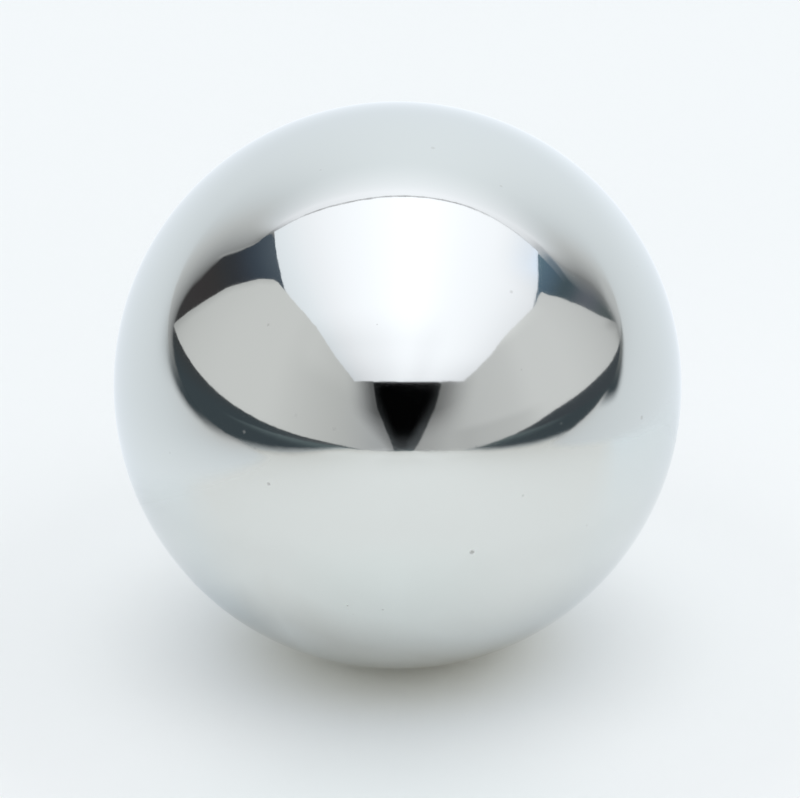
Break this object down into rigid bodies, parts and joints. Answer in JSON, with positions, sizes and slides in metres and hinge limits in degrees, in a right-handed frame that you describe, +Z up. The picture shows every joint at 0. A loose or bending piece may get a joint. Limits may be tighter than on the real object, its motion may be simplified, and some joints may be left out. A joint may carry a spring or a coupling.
{
  "type": "steel ball",
  "caption": "Solid steel ball, lapped and polished to a mirror finish all over, for bearings, valves and bench use.",
  "frame": {"origin": "centre of the ball", "axes": "+Z up; the ball is the same about every axis, and its lowest point is on -Z"},
  "size_m": [0.0254, 0.0254, 0.0254],
  "materials": {
    "polished_steel": "mirror polished"
  },
  "bodies": {
    "root": {"ball": "polished_steel"}
  },
  "joints": []
}
